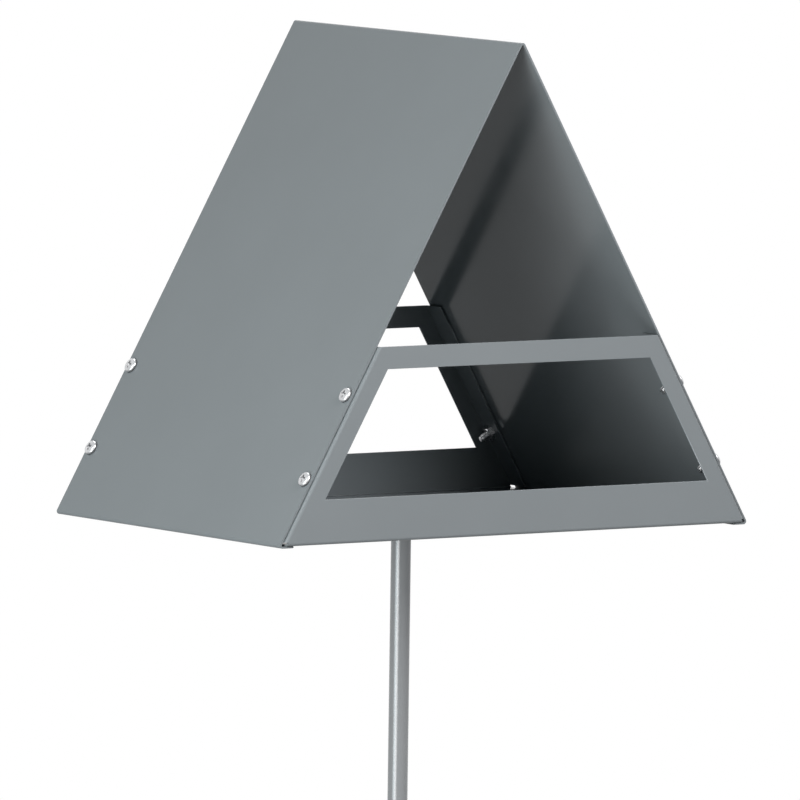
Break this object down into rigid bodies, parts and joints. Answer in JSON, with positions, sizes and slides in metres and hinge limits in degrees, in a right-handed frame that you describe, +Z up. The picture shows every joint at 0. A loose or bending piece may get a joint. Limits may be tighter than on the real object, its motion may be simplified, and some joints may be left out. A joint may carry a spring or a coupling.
{
  "type": "bird feeder",
  "caption": "Open bird feeder house of folded sheet steel, triangular in front view, with a feed tray behind framed windows, screwed together and standing on a slim round garden pole.",
  "frame": {"origin": "on the pole's axis at ground level, at the centre of the flat face where the pole meets the ground", "axes": "+Z up the pole, +X along the front's width to the viewer's right, and the front faces -Y"},
  "size_m": [0.28, 0.201, 1.2039],
  "materials": {
    "house_paint": "satin powder coat, bluish mid grey",
    "pole_paint": "smooth glossy paint, mid grey",
    "zinc": "bright zinc plate"
  },
  "bodies": {
    "root": {"roof_sheet": "house_paint", "feed_tray": "house_paint", "screw_left_front_lower": "zinc", "screw_left_front_upper": "zinc", "screw_left_rear_lower": "zinc", "screw_left_rear_upper": "zinc", "screw_right_front_lower": "zinc", "screw_right_front_upper": "zinc", "screw_right_rear_lower": "zinc", "screw_right_rear_upper": "zinc", "nut_left_front_lower": "zinc", "nut_left_front_upper": "zinc", "nut_left_rear_lower": "zinc", "nut_left_rear_upper": "zinc", "nut_right_front_lower": "zinc", "nut_right_front_upper": "zinc", "nut_right_rear_lower": "zinc", "nut_right_rear_upper": "zinc", "pole_washer": "zinc", "pole_bolt": "zinc", "support_plate": "pole_paint", "pole_top": "pole_paint", "pole_middle": "pole_paint", "pole_bottom": "pole_paint"}
  },
  "joints": []
}
